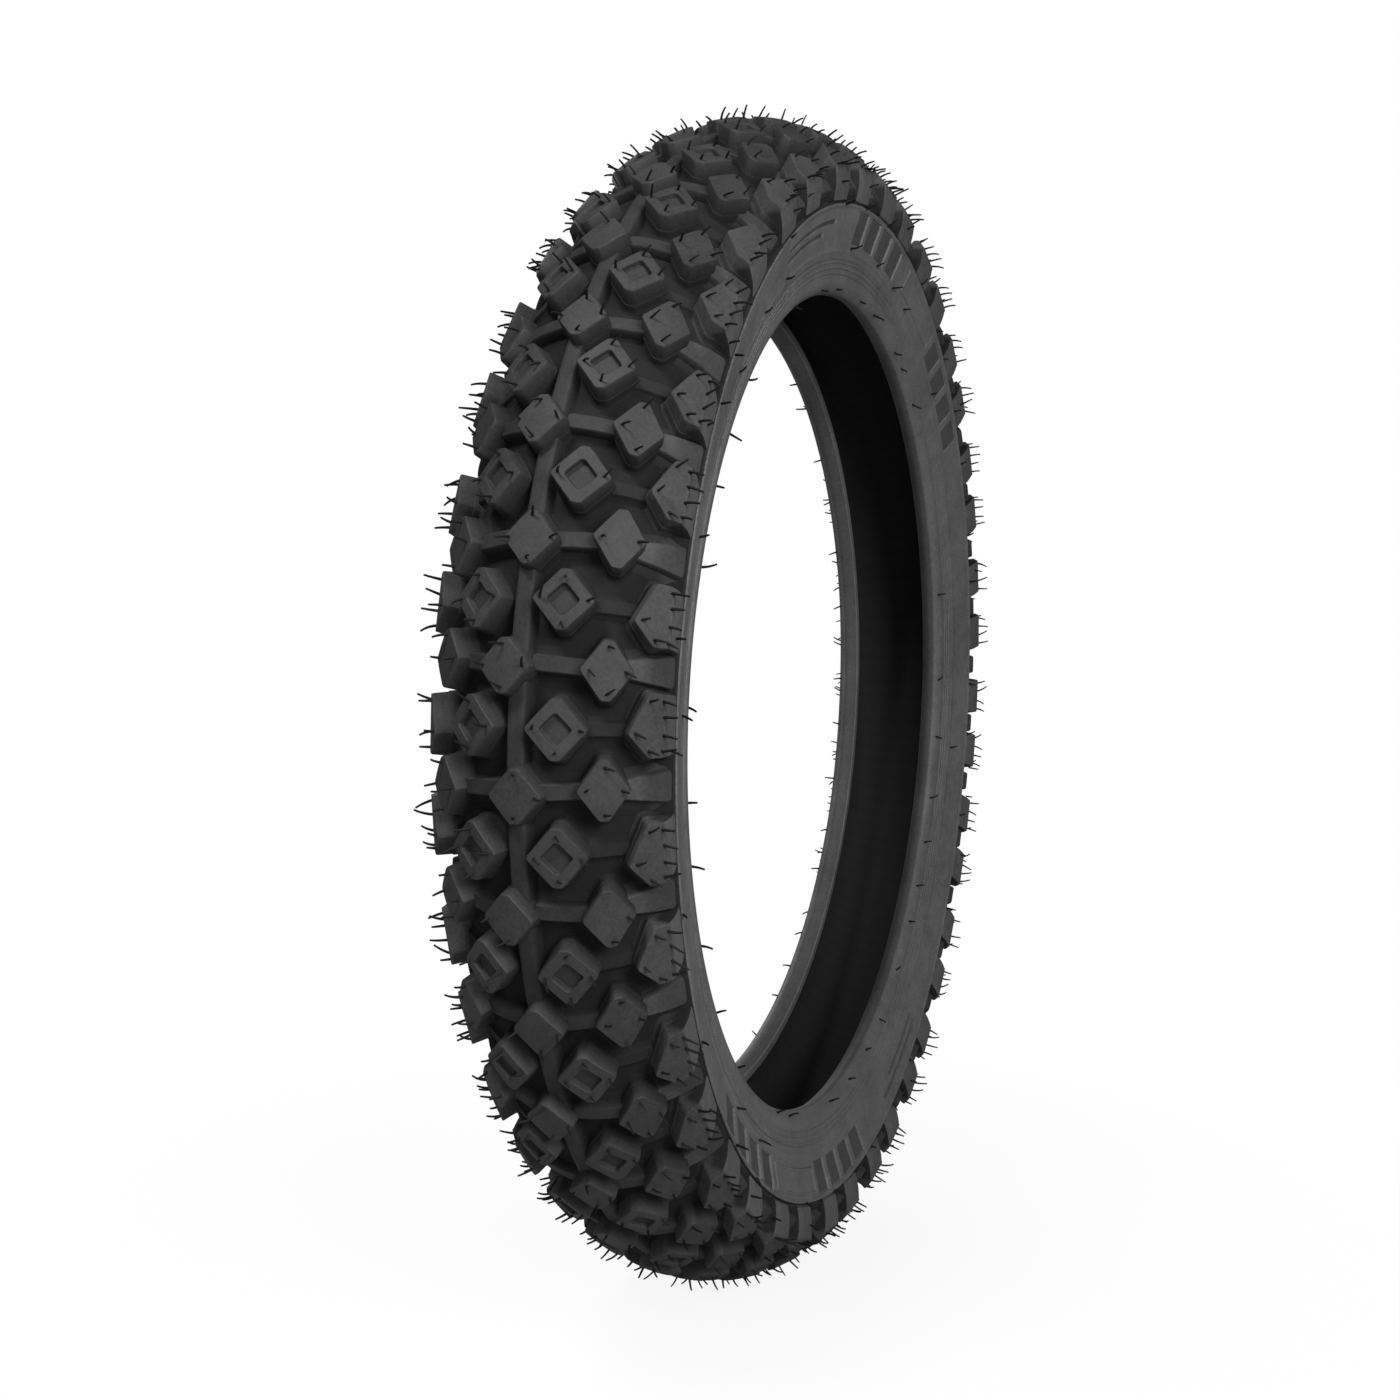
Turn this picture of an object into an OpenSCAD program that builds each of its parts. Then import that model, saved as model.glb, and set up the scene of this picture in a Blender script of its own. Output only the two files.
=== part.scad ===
// Off-road motorcycle tyre, built up in the layers a bias-ply tyre is made of:
// wire beads, two carcass plies turned up round them, an airtight liner, two
// breaker plies, sidewalls, a tread base and the moulded rows of tread knobs.
// The wheel axis is +Y, the centre of the wheel is the origin, sizes are in mm.

/* [Overall] */
// Outside diameter over the centre knobs
outside_d = 640; // [600:1:680]
// Diameter of the seats that sit on the rim
seat_d = 457.2; // [440:0.2:470]
// Width over the sidewalls at their widest
section_w = 102; // [98:0.5:112]
// Clear gap between the two beads
bead_gap = 49; // [42:0.5:56]

/* [Crown] */
// Radius of the crown across the tread
crown_r = 64; // [58:0.5:76]
// Height of the knobs over the tread base
knob_h = 11; // [8:0.5:13]
// Half width of the tread, out to the edge knobs
tread_y = 53.2; // [50:0.1:56]
// Thickness of the tread base under the grooves
base_t = 3.5; // [2.5:0.1:5]
// Drop from the edge of the tread floor to the shoulder line
shoulder_drop = 8.5; // [6:0.5:12]
// How far the shoulder line lies inside the edge of the tread
shoulder_in = 2.2; // [1:0.1:4]

/* [Knob rows] */
// Knobs in each row, always even
pitches = 40; // [36:2:44]
// Turn of the tread from the wheel's X axis, in degrees
tread_phase = 3.1; // [0:0.1:18]
// Side step of every other centre knob
centre_step = 2.5; // [0:0.1:4]
// Sideways place of the pocket knobs
pocket_y = 18.8; // [17:0.1:21]
// Sideways place of the shoulder knobs
shoulder_y = 35.8; // [34:0.1:38]
// Sideways place of the inner point of the edge knobs
edge_y = 43.1; // [42:0.1:45]
// Step along the tread of every other shoulder knob
shoulder_step = 1.3; // [0:0.1:2]
// Step along the tread of every other edge knob
edge_step = 2; // [0:0.1:3]
// Slope of the knob walls, in degrees
draft = 12; // [6:1:16]

/* [Knob tops] */
// Centre knob, width across the tread
centre_w = 22.3; // [18:0.1:24]
// Centre knob, length along the tread
centre_l = 21; // [18:0.1:24]
// Pocket knob, width across the tread
pocket_w = 22.8; // [20:0.1:24]
// Pocket knob, length along the tread
pocket_l = 22; // [18:0.1:24]
// Rim left round the pocket
pocket_rim = 3.6; // [2.5:0.1:4.5]
// Depth of the pocket
pocket_depth = 2.6; // [1:0.1:4]
// Shoulder knob, width across the tread
shoulder_w = 19.4; // [17:0.1:21]
// Shoulder knob, length along the tread
shoulder_l = 23; // [19:0.1:25]
// Edge knob, length along the tread
edge_l = 24.6; // [20:0.1:26]
// Blunt tip at the front and back of each diamond
tip_w = 3.8; // [2:0.1:5]

/* [Ribs between knobs] */
// Width of the centre rib at its top
rib_w = 7.2; // [5:0.1:9]
// Height of the centre rib
rib_h = 5.2; // [3:0.1:7]
// Width of the bars from centre to shoulder knobs
tie_w = 5.6; // [4:0.1:7]
// Height of those bars
tie_h = 5.4; // [3:0.1:7]
// Width of the bars from pocket to edge knobs
edge_tie_w = 4.4; // [3:0.1:6]
// Height of those bars
edge_tie_h = 3.6; // [2:0.1:5]
// Width of the lands outside the shoulder knobs
land_w = 6; // [4:0.1:6.5]
// Height of those lands
land_h = 4.6; // [3:0.1:6]
// Height of those lands over the edge of the tread floor
land_edge_h = 2.2; // [1.5:0.1:3]
// Gap between the ends of those lands and the shoulder line
land_gap = 0.8; // [0.5:0.1:1.5]

/* [Casing] */
// Thickness of one carcass ply
ply_t = 1; // [0.8:0.05:1.3]
// Thickness of the inner liner
liner_t = 1.5; // [1:0.1:2]
// Thickness of one breaker ply
breaker_t = 1.2; // [0.9:0.05:1.5]
// Rubber outside the casing at its widest place
side_t = 7; // [5.5:0.1:9]
// Height over the filler's tip at which the casing bends towards the bead
bend_h = 1.9; // [1:0.1:4]
// Widest place of the casing, as a share of the way from that bend to the crown
belly_share = 0.16; // [0.1:0.01:0.3]
// Fall of the sidewall from its widest place to its middle
side_fall = 4.6; // [3:0.1:6]
// Steps of the casing's outline that the lower breaker covers on each side
breaker_steps = 6; // [5:1:7]
// Steps by which the upper breaker is narrower on each side
breaker_edge = 1; // [1:1:2]

/* [Beads] */
// Radius of the round bead core
bead_r = 4; // [3.6:0.1:4.5]
// Diameter of one bead wire
wire_d = 1.2; // [1:0.05:1.3]
// Rubber between neighbouring wires
wire_gap = 0.3; // [0.2:0.05:0.4]
// Rings of wires round the middle wire
wire_rings = 2; // [1:1:2]
// Height of the filler over the bead core's centre
filler_h = 15; // [12:0.5:18]
// Thickness of the chafer under the bead
chafer_t = 2.6; // [2:0.1:3.5]
// Thickness of the chafer beside the bead
chafer_side = 1.6; // [1.2:0.1:2.2]
// Thickness of the chafer's top edge
chafer_edge = 1.6; // [1:0.1:2.2]
// Height of the chafer's top edge over the bead core's centre
chafer_h = 9; // [7:0.5:11]
// Rounding of the toe and heel
bead_round = 2.4; // [1.5:0.1:3]

/* [Hidden] */
$fn = 160;

// Crown: knob tops and tread floor are arcs about one centre
crown_c = outside_d / 2 - crown_r;
floor_r = crown_r - knob_h;
function across(y) = asin(y / crown_r);
edge_a = across(tread_y);
pitch_a = 360 / pitches;
floor_edge = [crown_c + floor_r * cos(edge_a), floor_r * sin(edge_a)];
shoulder_line = [floor_edge.x - shoulder_drop, tread_y - shoulder_in];

// Bead core: stands on the rim seat over chafer and plies
bead_x = seat_d / 2 + chafer_t + 2 * ply_t + bead_r;
bead_y = bead_gap / 2 + liner_t + 2 * ply_t + bead_r;
bead = [bead_x, bead_y];

// Casing: an ellipse over the crown, then a straight run down to the bead core
casing_y = section_w / 2 - side_t;
casing_top = crown_c + floor_r - base_t - 2 * breaker_t;
bend_x = bead_x + filler_h + bend_h;
belly_x = bend_x + belly_share * (casing_top - bend_x);
casing_x = casing_top - belly_x;
low_a = 112;
low_x = (bend_x - belly_x) / cos(low_a);
function casing(t) = [belly_x + (t < 90 ? casing_x : low_x) * cos(t), casing_y * sin(t)];

// Where a straight run from point p touches the bead core, on side s
function touch_a(p, s) =
    let (d = p - bead) atan2(d.y, d.x) + s * acos(bead_r / norm(d));
function on_bead(a) = bead + bead_r * [cos(a), sin(a)];

crown_run = [for (i = [1:11]) casing(i * 8)];
belly_run = [for (t = [96:8:low_a]) casing(t)];
belly_end = casing(low_a);
inner_touch = touch_a(belly_end, -1);
// The filler's tip lies on the straight run, filler_h over the core
run_s = (bead_x + filler_h - belly_end.x) / (on_bead(inner_touch).x - belly_end.x);
filler_tip = belly_end + run_s * (on_bead(inner_touch) - belly_end);
outer_touch = touch_a(filler_tip, 1);
wrap_steps = 12;
wrap_span = inner_touch + 360 - outer_touch;
bead_run = [for (i = [0:wrap_steps]) on_bead(inner_touch - wrap_span * i / wrap_steps)];

// The casing's path from the crown down, round the bead and up to the filler's tip
half_path = concat(crown_run, belly_run, bead_run, [filler_tip]);
n_casing = len(crown_run) + len(belly_run);
function flip(p) = [p.x, -p.y];
function back(v) = [for (i = [len(v) - 1:-1:0]) v[i]];
function part(v, a, b) = [for (i = [a:b]) v[i]];
function mirrored(v) = [for (p = v) flip(p)];
function unit(v) = v / norm(v);

// Half path moved by d, out of the tyre where d is positive
function moved(d) =
    let (q = concat([flip(half_path[0])], [casing(0)], half_path),
         n = len(q))
    [for (i = [1:n - 1])
        let (t = unit(i < n - 1 ? unit(q[i + 1] - q[i]) + unit(q[i] - q[i - 1]) : q[i] - q[i - 1]),
             k = i < n - 1 ? t * unit(q[i] - q[i - 1]) : 1)
        q[i] + d / k * [t.y, -t.x]];
// Closed outline of a layer between two moves, over both halves, up to point b
function layer(d1, d2, b) =
    let (u = part(moved(d1), 0, b), v = part(moved(d2), 0, b),
         u2 = part(u, 1, b), v2 = part(v, 1, b))
    concat(back(mirrored(u2)), u, back(v), mirrored(v2));

module turned() { rotate([-90, 0, 0]) rotate_extrude() children(); }
module on_side(s) { if (s > 0) children(); else mirror([0, 1, 0]) children(); }

// Half outlines, on the right-hand side
ply_end = len(half_path);
toe_end = n_casing + 1;
upper_steps = breaker_steps - breaker_edge;

wrap = moved(-2 * ply_t);
// Outer face of the turned-up plies, from the tip down to the chafer's top edge
chafer_x = bead_x + chafer_h;
function at_x(p, q, x) = p + (x - p.x) / (q.x - p.x) * (q - p);
up_foot = wrap[len(wrap) - 2];
up_head = wrap[len(wrap) - 1];
chafer_in = at_x(up_foot, up_head, chafer_x);
heel_y = bead_y + bead_r + 2 * ply_t + chafer_side;
belly_foot = [bead_x + bead_r - chafer_side, heel_y];
belly_top = [(chafer_x + shoulder_line.x) / 2, section_w / 2 - side_fall];
chafer_out = chafer_in + [0, chafer_edge];
seat_x = seat_d / 2;
toe_y = bead_gap / 2;

function corner_arc(c, a1, a2) =
    [for (i = [0:4]) c + bead_round * [cos(a1 + (a2 - a1) * i / 4), sin(a1 + (a2 - a1) * i / 4)]];

// Layers of the casing
module inner_liner() {
    color("#161616") turned() polygon(layer(-2 * ply_t, -2 * ply_t - liner_t, toe_end));
}
module carcass_ply_inner() {
    color("#6b5a3c") turned() polygon(layer(-ply_t, -2 * ply_t, ply_end));
}
module carcass_ply_outer() {
    color("#7d6a48") turned() polygon(layer(0, -ply_t, ply_end));
}
module breaker_lower() {
    color("#8a7550") turned() polygon(layer(breaker_t, 0, breaker_steps));
}
module breaker_upper() {
    color("#98825a") turned() polygon(layer(2 * breaker_t, breaker_t, upper_steps));
}

// Bead core: a hexagonal bundle of wires in rubber
wire_pitch = wire_d + wire_gap;
wires = [for (i = [-wire_rings:wire_rings], j = [-wire_rings:wire_rings])
    if (abs(i + j) <= wire_rings)
        bead + wire_pitch * [i + j / 2, j * sin(60)]];
// Each wire is drawn with few sides, because it is thin and long
wire_sides = 8;
module wire_section() { for (w = wires) translate(w) circle(d = wire_d, $fn = wire_sides); }
module bead_wires(s) { color("#b08d57") on_side(s) turned() wire_section(); }
core_arc = [for (i = [1:7]) on_bead(inner_touch + (outer_touch - inner_touch) * i / 8)];
module bead_insulation(s) {
    color("#2b2b2b") on_side(s) turned() difference() {
        polygon(concat(bead_run, back(core_arc)));
        wire_section();
    }
}
module bead_filler(s) {
    color("#343434") on_side(s) turned() polygon(concat([filler_tip],
        [on_bead(inner_touch)], core_arc, [on_bead(outer_touch)]));
}

// Chafer: round the toe, the seat and the heel
module chafer(s) {
    toe_c = [seat_x + bead_round, toe_y + bead_round];
    heel_c = [seat_x + bead_round, heel_y - bead_round];
    liner_foot = moved(-2 * ply_t - liner_t)[toe_end];
    color("#202020") on_side(s) turned() polygon(concat(
        [liner_foot], corner_arc(toe_c, 270, 180), corner_arc(heel_c, 180, 90),
        [belly_foot, chafer_out, chafer_in],
        back(part(wrap, toe_end, len(wrap) - 2))));
}

// Sidewall: from the chafer to the shoulder line, outside the plies
bulge_mid = [(belly_top.x + shoulder_line.x) / 2, section_w / 2];
bulge = [for (i = [0:6]) let (u = i / 6)
    (1 - u) * (1 - u) * belly_top + 2 * u * (1 - u) * bulge_mid + u * u * shoulder_line];
module sidewall(s) {
    casing_side = [for (p = concat(crown_run, belly_run)) if (p.x < shoulder_line.x) p];
    color("#303030") on_side(s) turned() polygon(concat(
        [chafer_in, chafer_out], bulge, casing_side, [filler_tip, up_head]));
}

// Tread base: the tread floor over the breakers, down to the shoulder lines
module tread_base() {
    foot_i = len([for (p = concat(crown_run, belly_run)) if (p.x >= shoulder_line.x) p]) + 1;
    under = concat(part(moved(2 * breaker_t), 0, upper_steps),
                   part(moved(breaker_t), upper_steps, breaker_steps),
                   part(moved(0), breaker_steps, foot_i));
    cap = [for (i = [floor_steps:-1:-floor_steps]) crown_floor(edge_a * i / floor_steps)];
    color("#2a2a2a") turned() polygon(concat(
        [shoulder_line], cap, [flip(shoulder_line)],
        back(mirrored(part(under, 1, len(under) - 1))), under));
}
function crown_floor(a) = [crown_c, 0] + floor_r * [cos(a), sin(a)];
// Piece of a ring, as long as two pitches, round the place t of the wheel
module turned_at(t) {
    rotate([0, -t, 0]) rotate([-90, 0, 0]) rotate([0, 0, -pitch_a])
        rotate_extrude(angle = 2 * pitch_a) children();
}
floor_steps = 8;
module floor_section(s) {
    cap = [for (i = [floor_steps:-1:-2]) crown_floor(s * edge_a * i / floor_steps)];
    polygon(concat([[belly_x, 0]], cap));
}
module centre_section() {
    cap = [for (i = [3:-1:-3]) crown_floor(edge_a * i / floor_steps)];
    polygon(concat([[belly_x, 0]], cap));
}

// Knob outlines: first number across the tread, second along it
function diamond(w, l) =
    [[w, 0], [tip_w, l], [-tip_w, l], [-w, 0], [-tip_w, -l], [tip_w, -l]] / 2;
// A convex outline with every side moved out by d
function grown(p, d) =
    let (n = len(p))
    [for (i = [0:n - 1])
        let (e = unit(p[i] - p[(i + n - 1) % n]), f = unit(p[(i + 1) % n] - p[i]),
             a = [e.y, -e.x], b = [f.y, -f.x])
        p[i] + d * (a + b) / (1 + a * b)];
function lifted(p, z) = [for (q = p) [z, q.x, q.y]];
function sides(n, lo, hi) =
    [for (i = [0:n - 1]) let (j = (i + 1) % n) [lo + i, hi + i, hi + j, lo + j]];
function up(n, lo) = [[for (i = [n - 1:-1:0]) lo + i]];
function down(n, lo) = [[for (i = [0:n - 1]) lo + i]];

// A block between two outlines of as many points, its face up along X
module block(bottom, top) {
    n = len(top);
    polyhedron(concat(bottom, top), concat(down(n, 0), sides(n, 0, n), up(n, n)));
}
knob_foot = floor_r - 4;
function drafted(h) = h * tan(draft);
module plain_knob(top) {
    block(lifted(grown(top, drafted(crown_r - knob_foot)), knob_foot), lifted(top, crown_r));
}
module open_knob(top) {
    n = len(top);
    rim = grown(top, -pocket_rim);
    bed = grown(rim, -drafted(pocket_depth));
    polyhedron(concat(
            lifted(grown(top, drafted(crown_r - knob_foot)), knob_foot),
            lifted(top, crown_r), lifted(rim, crown_r), lifted(bed, crown_r - pocket_depth)),
        concat(down(n, 0), sides(n, 0, n), sides(n, n, 2 * n), sides(n, 2 * n, 3 * n), up(n, 3 * n)));
}
// Bar of width w, from l1 to l2 across the tread, with its top at z1 and z2 there
module bar(l1, l2, w, z1, z2, foot) {
    s1 = w / 2 + drafted(z1 - foot);
    s2 = w / 2 + drafted(z2 - foot);
    block([[foot, l2, -s2], [foot, l2, s2], [foot, l1, s1], [foot, l1, -s1]],
          [[z2, l2, -w / 2], [z2, l2, w / 2], [z1, l1, w / 2], [z1, l1, -w / 2]]);
}
// Level bar across the tread between two sideways places, at turn t
module span_bar(y1, y2, t, w, top) {
    mid = (across(y1) + across(y2)) / 2;
    reach = crown_r * sin(across(y2) - mid);
    at_crown(mid, t) bar(-reach, reach, w, top, top, knob_foot);
}

// Places on the crown: a across, t round the wheel
module at_crown(a, t) { rotate([0, -t, 0]) translate([crown_c, 0, 0]) rotate([0, 0, a]) children(); }
function even(i) = i % 2 == 0 ? 1 : -1;
function turn(i) = tread_phase + i * pitch_a;
function half_turn(i) = turn(i) + pitch_a / 2;
function along(d, y) = d / (crown_c + crown_r * cos(across(y))) * 180 / PI;
// The two sides repeat one pitch apart, so side s swaps odd and even
module at_centre(i) { at_crown(-even(i) * across(centre_step), turn(i)) children(); }
module at_pocket(s, i) { at_crown(s * across(pocket_y), half_turn(i)) children(); }
module at_shoulder(s, i) {
    at_crown(s * across(shoulder_y), turn(i) - s * even(i) * along(shoulder_step, shoulder_y)) children();
}
// The corner of a diamond on side s, to cut what meets the knob there
function corner(w, l, s) = s * [[w, 0], [tip_w, l], [tip_w, -l]] / 2;

// Edge knob: a half diamond whose outer face runs down to the shoulder
edge_half = (edge_a - across(edge_y)) / 2;
edge_mid = (edge_a + across(edge_y)) / 2;
edge_w = crown_r * sin(edge_half);
edge_top = crown_r * cos(edge_half);
flank_fade = 5;
function from_crown(p, a) =
    let (d = p - [crown_c, 0])
    [d.x * cos(a) + d.y * sin(a), d.y * cos(a) - d.x * sin(a)];
flank = from_crown(shoulder_line - [flank_fade, 0], edge_mid);
edge_foot = flank.x - 2;
edge_corner = [[-edge_w, 0], [edge_w / 10, -edge_l / 2], [edge_w / 10, edge_l / 2]];
module at_edge(s, i) {
    on_side(s) at_crown(edge_mid, half_turn(i) - s * even(i) * along(edge_step, tread_y)) children();
}
module edge_knob() {
    top = [[edge_w, edge_l / 2], edge_corner[2], edge_corner[0], edge_corner[1], [edge_w, -edge_l / 2]];
    wide = grown(top, drafted(edge_top - edge_foot));
    out = edge_w + (flank.y - edge_w) * (edge_top - edge_foot) / (edge_top - flank.x);
    low = concat([[out, wide[0].y]], part(wide, 1, 3), [[out, wide[4].y]]);
    block(lifted(low, edge_foot), lifted(top, edge_top));
}
// Everything outside the casing that the edge knobs stand on
module body_section() {
    cap = [for (i = [floor_steps:-1:0]) crown_floor(edge_a * i / floor_steps)];
    polygon(concat([[belly_x, 0]], bulge, cap));
}
module each_pitch() {
    for (i = [0:pitches - 1]) {
        $i = i;
        children();
    }
}

module rib_section() {
    foot = crown_c + floor_r - 1;
    low_w = rib_w / 2 + drafted(rib_h + 1);
    peak = foot + rib_h + 1;
    polygon([[peak, rib_w / 2], [peak, -rib_w / 2], [foot, -low_w], [foot, low_w]]);
}
module centre_rib() { color("#333333") turned() difference() { rib_section(); centre_section(); } }
module centre_knobs() {
    color("#3a3a3a") each_pitch() difference() {
        at_centre($i) plain_knob(diamond(centre_w, centre_l));
        turned_at(turn($i)) union() { centre_section(); rib_section(); }
    }
}
module pocket_knobs(s) {
    color("#3c3c3c") each_pitch() difference() {
        at_pocket(s, $i) open_knob(diamond(pocket_w, pocket_l));
        turned_at(half_turn($i)) floor_section(s);
    }
}
module shoulder_knobs(s) {
    color("#3a3a3a") each_pitch() difference() {
        at_shoulder(s, $i) plain_knob(diamond(shoulder_w, shoulder_l));
        turned_at(turn($i)) floor_section(s);
    }
}
module edge_knobs(s) {
    color("#383838") each_pitch() difference() {
        at_edge(s, $i) edge_knob();
        on_side(s) turned_at(half_turn($i)) body_section();
    }
}

// Bars between knobs, cut to the corners that they meet
module tie_bars(s) {
    top = floor_r + tie_h;
    color("#323232") each_pitch() difference() {
        on_side(s) span_bar(centre_w / 4, shoulder_y - shoulder_w / 4, turn($i), tie_w, top);
        at_centre($i) plain_knob(corner(centre_w, centre_l, s));
        at_shoulder(s, $i) plain_knob(corner(shoulder_w, shoulder_l, -s));
        turned_at(turn($i)) union() { floor_section(s); rib_section(); }
    }
}
module edge_ties(s) {
    top = floor_r + edge_tie_h;
    color("#303030") each_pitch() difference() {
        on_side(s) span_bar(pocket_y + pocket_w / 4, edge_y + edge_w / 2, half_turn($i), edge_tie_w, top);
        at_pocket(s, $i) plain_knob(corner(pocket_w, pocket_l, s));
        at_edge(s, $i) block(lifted(grown(edge_corner, drafted(edge_top - edge_foot)), edge_foot),
                             lifted(edge_corner, edge_top));
        turned_at(half_turn($i)) floor_section(s);
    }
}
module shoulder_lands(s) {
    edge = from_crown(shoulder_line, edge_mid);
    inner = crown_r * sin(across(shoulder_y + shoulder_w / 4) - edge_mid);
    outer = edge.y - land_gap;
    // The top runs straight out from the knob, over the edge of the floor
    rim = from_crown(floor_edge, edge_mid);
    top = floor_r + land_h;
    fall = (top - rim.x - land_edge_h) / (rim.y - inner);
    color("#323232") each_pitch() difference() {
        on_side(s) at_crown(edge_mid, turn($i))
            bar(inner, outer, land_w, top, top - fall * (outer - inner), edge_foot);
        at_shoulder(s, $i) plain_knob(corner(shoulder_w, shoulder_l, s));
        on_side(s) turned_at(turn($i)) body_section();
    }
}

inner_liner();
carcass_ply_inner();
carcass_ply_outer();
breaker_lower();
breaker_upper();
bead_wires(-1);  // bead_wires_left
bead_wires(1);  // bead_wires_right
bead_insulation(-1);  // bead_insulation_left
bead_insulation(1);  // bead_insulation_right
bead_filler(-1);  // bead_filler_left
bead_filler(1);  // bead_filler_right
chafer(-1);  // chafer_left
chafer(1);  // chafer_right
sidewall(-1);  // sidewall_left
sidewall(1);  // sidewall_right
tread_base();
centre_rib();
centre_knobs();
pocket_knobs(-1);  // pocket_knobs_left
pocket_knobs(1);  // pocket_knobs_right
shoulder_knobs(-1);  // shoulder_knobs_left
shoulder_knobs(1);  // shoulder_knobs_right
edge_knobs(-1);  // edge_knobs_left
edge_knobs(1);  // edge_knobs_right
tie_bars(-1);  // tie_bars_left
tie_bars(1);  // tie_bars_right
edge_ties(-1);  // edge_ties_left
edge_ties(1);  // edge_ties_right
shoulder_lands(-1);  // shoulder_lands_left
shoulder_lands(1);  // shoulder_lands_right
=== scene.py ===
import math
import random

import bpy
from mathutils import Matrix, Vector


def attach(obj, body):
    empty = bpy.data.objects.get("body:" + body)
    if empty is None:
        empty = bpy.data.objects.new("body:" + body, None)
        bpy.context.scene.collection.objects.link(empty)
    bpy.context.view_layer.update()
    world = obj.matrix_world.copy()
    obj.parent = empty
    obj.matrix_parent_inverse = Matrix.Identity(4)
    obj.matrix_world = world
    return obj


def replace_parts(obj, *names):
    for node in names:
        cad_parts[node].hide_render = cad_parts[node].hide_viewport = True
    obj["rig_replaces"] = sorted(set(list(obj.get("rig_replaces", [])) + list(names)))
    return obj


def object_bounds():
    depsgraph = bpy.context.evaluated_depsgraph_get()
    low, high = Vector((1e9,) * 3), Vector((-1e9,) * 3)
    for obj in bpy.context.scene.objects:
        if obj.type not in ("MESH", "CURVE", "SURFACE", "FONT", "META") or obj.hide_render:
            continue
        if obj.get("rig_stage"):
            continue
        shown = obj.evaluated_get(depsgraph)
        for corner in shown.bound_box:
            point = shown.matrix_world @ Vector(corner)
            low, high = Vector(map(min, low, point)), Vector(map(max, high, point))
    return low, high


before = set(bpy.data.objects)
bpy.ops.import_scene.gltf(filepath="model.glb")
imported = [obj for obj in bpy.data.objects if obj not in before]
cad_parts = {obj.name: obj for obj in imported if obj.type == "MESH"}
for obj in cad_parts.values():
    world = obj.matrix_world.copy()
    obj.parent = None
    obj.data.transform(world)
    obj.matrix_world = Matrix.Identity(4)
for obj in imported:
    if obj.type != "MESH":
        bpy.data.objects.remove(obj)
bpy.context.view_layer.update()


# Bead cores. Each is a bundle of bronze-coated steel wires in hard rubber, with a rubber
# filler on top. They are wound first and stay sealed in the tyre, so the solids keep
# their shape and only get their finish.
class Shade:
    """A value in a finish's nodes. Arithmetic on it adds Math nodes."""

    def __init__(self, tree, socket=None):
        self.tree = tree
        self.socket = socket

    def node(self, kind, settings=None, sockets=None, out=0):
        """Adds a node with its settings, then the values or links of its sockets."""
        made = self.tree.nodes.new("ShaderNode" + kind)
        for name, setting in (settings or {}).items():
            setattr(made, name, setting)
        for name, value in (sockets or {}).items():
            if isinstance(value, Shade):
                self.tree.links.new(value.socket, made.inputs[name])
            else:
                made.inputs[name].default_value = value
        return Shade(self.tree, made.outputs[out])

    def maths(self, operation, *values):
        return self.node("Math", {"operation": operation}, dict(enumerate(values)))

    def axes(self):
        """The x, y and z of a place."""
        split = self.node("SeparateXYZ", None, {"Vector": self})
        return [Shade(self.tree, socket) for socket in split.socket.node.outputs]

    def __add__(self, other):
        return self.maths("ADD", self, other)

    __radd__ = __add__

    def __mul__(self, other):
        return self.maths("MULTIPLY", self, other)

    __rmul__ = __mul__

    def __sub__(self, other):
        return self.maths("SUBTRACT", self, other)

    def __rsub__(self, other):
        return self.maths("SUBTRACT", other, self)

    def __truediv__(self, other):
        return self.maths("DIVIDE", self, other)


def new_finish(name, constants):
    """A material with its constant sockets set, its shader and its Object coordinates."""
    material = bpy.data.materials.new(name)
    material.use_nodes = True
    shader = material.node_tree.nodes["Principled BSDF"]
    for socket, value in constants.items():
        shader.inputs[socket].default_value = value
    place = Shade(material.node_tree).node("TexCoord", out="Object")
    return material, shader, place


def join(shader, socket, value):
    value.tree.links.new(value.socket, shader.inputs[socket])


def noise(place, scale, detail=3.0):
    return place.node("TexNoise", None, {"Vector": place, "Scale": scale, "Detail": detail})


def tinted(factor, dark, light):
    """Mixes two colours, each a colour triple or a value from nodes."""
    ends = {socket: end if isinstance(end, Shade) else (*end, 1)
            for socket, end in ((6, dark), (7, light))}
    return factor.node("Mix", {"data_type": "RGBA"}, {0: factor, **ends}, out=2)


def held(value):
    """Keeps a value from 0 to 1."""
    return value.node("Clamp", None, {"Value": value})


def bumped(shader, height, strength, depth):
    """Gives the surface a relief from a pattern of heights, of a depth in metres."""
    sockets = {"Strength": strength, "Distance": depth, "Height": height}
    join(shader, "Normal", height.node("Bump", None, sockets))


def rubber(name, dark, light, rough, grain, painted_shade=None):
    """Moulded rubber between two greys: cloudy, gritty and a little streaked. The last argument
    is a rule for painted shade: how far it darkens the rubber towards black and makes it
    rougher, from 0 to 1, given its x, y and z."""
    material, shader, place = new_finish(name, {"Specular IOR Level": 0.28})
    cloud = noise(place, scale=26.0)
    grit = noise(place, scale=700.0, detail=2.0)
    streak = noise(place, scale=130.0, detail=4.0)
    contrast = 2.4
    mottle = cloud * 0.35 + grit * 0.4 + streak * 0.25
    tone = tinted(held((mottle - 0.5) * contrast + 0.5), (dark,) * 3, (light,) * 3)
    dull = rough - 0.12 + cloud * 0.16 + grit * 0.08
    if painted_shade is not None:
        # Painted shade: the rule's share darkens the tone towards black and roughens it.
        share = painted_shade(*place.axes())
        tone = tinted(share, tone, (0.0, 0.0, 0.0))
        dull = dull + share * 0.35
    join(shader, "Base Color", tone)
    join(shader, "Roughness", dull)
    bumped(shader, grit * 0.5 + streak * 0.5, strength=grain, depth=0.0004)
    return material


def dressed(node, material):
    """Gives a CAD node its finish."""
    node.data.materials.clear()
    node.data.materials.append(material)


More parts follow.
